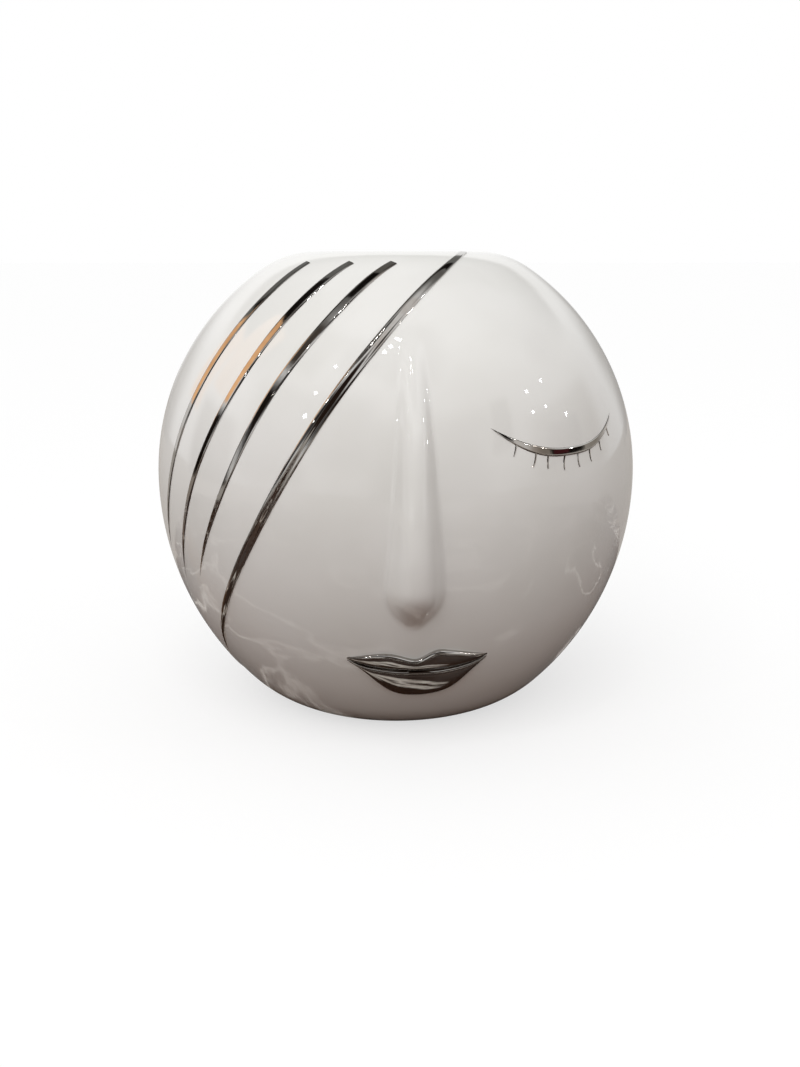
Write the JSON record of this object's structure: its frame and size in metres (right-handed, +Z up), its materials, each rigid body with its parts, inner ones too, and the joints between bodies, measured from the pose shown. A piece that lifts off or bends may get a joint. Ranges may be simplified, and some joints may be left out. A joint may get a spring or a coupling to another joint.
{
  "type": "head planter",
  "caption": "Glazed ball planter with an open top, a sleeping face in low relief, silver hair lines and lips, and a stopper in its drain hole.",
  "frame": {"origin": "middle of the foot ring, on the surface that the planter stands on", "axes": "+Z up through the open top, -Y the way the face looks, +X towards the face's left ear"},
  "size_m": [0.3003, 0.3117, 0.2815],
  "materials": {
    "glaze": "glossy white glaze",
    "lustre": "fired silver lustre",
    "rubber": "satin rubber"
  },
  "bodies": {
    "pot": {"head_shell": "glaze", "hair_line_1": "lustre", "hair_line_2": "lustre", "hair_line_3": "lustre", "hair_line_4": "lustre", "eyelid_line": "lustre", "lash_1": "lustre", "lash_2": "lustre", "lash_3": "lustre", "lash_4": "lustre", "lash_5": "lustre", "lash_6": "lustre", "lash_7": "lustre", "lash_8": "lustre", "upper_lip": "lustre", "lower_lip": "lustre"},
    "plug": {"drain_plug": "rubber"}
  },
  "joints": [
    {"name": "plug_lift", "type": "slide", "parent": "pot", "child": "plug", "axis": [0, 0, 1], "range_m": [0, 0.3]}
  ]
}
